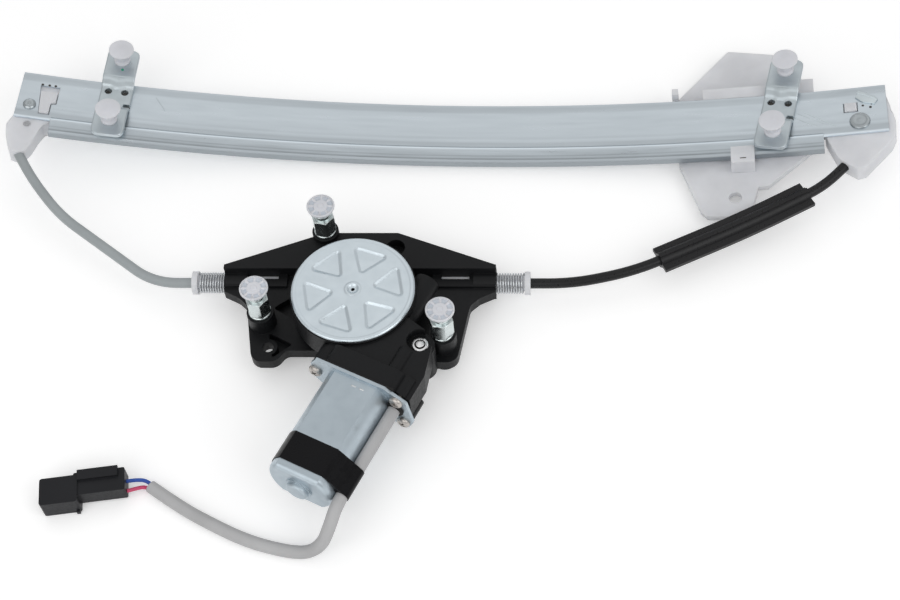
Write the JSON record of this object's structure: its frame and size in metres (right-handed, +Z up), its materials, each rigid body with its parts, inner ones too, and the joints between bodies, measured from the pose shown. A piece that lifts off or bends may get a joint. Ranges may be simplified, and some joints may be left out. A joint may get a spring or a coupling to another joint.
{
  "type": "window regulator",
  "caption": "Cable-driven window regulator: curved guide rail with sliding glass carrier, cable drum unit and worm gear motor with lead.",
  "frame": {"origin": "middle of the rail's length, centred across, on the plane the regulator lies on with its studs up", "axes": "+X along the rail towards the end where the carrier is parked, +Y from the motor towards the rail, +Z up along the fixing studs"},
  "size_m": [0.4527, 0.2943, 0.046],
  "materials": {
    "zinc_steel": "zinc plated",
    "cover_steel": "zinc plated",
    "can_steel": "zinc plated",
    "bright_steel": "bright",
    "cable_steel": "stranded",
    "white_nylon": "natural",
    "plug_plastic": "natural",
    "black_plastic": "satin",
    "grey_conduit": "satin",
    "black_conduit": "satin",
    "black_rubber": "matt",
    "black_tape": "vinyl",
    "ferrite": "matt",
    "core_steel": "laminated",
    "copper": "copper",
    "grey_sleeve": "soft",
    "blue_wire": "insulation",
    "red_wire": "insulation",
    "connector_plastic": "black",
    "brass_terminals": "tinned"
  },
  "bodies": {
    "root": {"guide_rail": "zinc_steel", "left_bracket": "zinc_steel", "right_bracket": "zinc_steel", "left_bracket_plugs": "plug_plastic", "right_bracket_plugs": "plug_plastic", "left_conduit": "grey_conduit", "right_conduit": "black_conduit", "conduit_sleeve": "black_conduit", "lift_cable": "cable_steel", "left_cable_guide": "white_nylon", "right_cable_guide": "white_nylon", "guide_rivets": "zinc_steel", "left_ferrule": "white_nylon", "right_ferrule": "white_nylon", "left_spring": "bright_steel", "right_spring": "bright_steel", "drum_housing": "black_plastic", "standoffs": "zinc_steel", "stud_plugs": "plug_plastic", "spindle": "bright_steel", "gear_housing": "black_plastic", "gear_cover": "cover_steel", "lug_bolt": "zinc_steel", "motor_can": "can_steel", "flange_gasket": "black_rubber", "motor_screws": "bright_steel", "motor_magnets": "ferrite", "brush_card": "black_plastic", "motor_brushes": "ferrite", "shaft_bearings": "bright_steel", "tape_band": "black_tape", "lead_sleeve_clamped": "grey_sleeve", "lead_sleeve": "grey_sleeve", "wire_blue": "blue_wire", "wire_red": "red_wire", "connector_housing": "connector_plastic", "connector_terminals": "brass_terminals"},
    "carrier": {"glass_carrier": "white_nylon", "cable_nipples": "cable_steel"},
    "drum": {"cable_drum": "white_nylon", "cable_turns": "cable_steel", "drive_plate": "bright_steel", "worm_wheel": "white_nylon", "rubber_damper": "black_rubber"},
    "armature": {"armature_shaft": "bright_steel", "armature_core": "core_steel", "armature_windings": "copper", "commutator": "copper"}
  },
  "joints": [
    {"name": "armature_turn", "type": "hinge", "parent": "root", "child": "armature", "pos_m": [-0.01019, -0.04491, 0.026], "axis": [-0.4035, -0.915, 0], "range_deg": [0, 61665]},
    {"name": "drum_turn", "type": "hinge", "parent": "root", "child": "drum", "pos_m": [-0.0338, -0.0345, 0.011], "axis": [0, 0, 1], "range_deg": [-846.7, 2]},
    {"name": "carrier_travel", "type": "hinge", "parent": "root", "child": "carrier", "pos_m": [0, 0.074, 1.1283], "axis": [0, -1, 0], "range_deg": [-15.01, 0.01]}
  ],
  "couplings": [
    {"joint": "drum_turn", "follows": "armature_turn", "ratio": -0.013699},
    {"joint": "carrier_travel", "follows": "armature_turn", "ratio": -0.00024325}
  ]
}
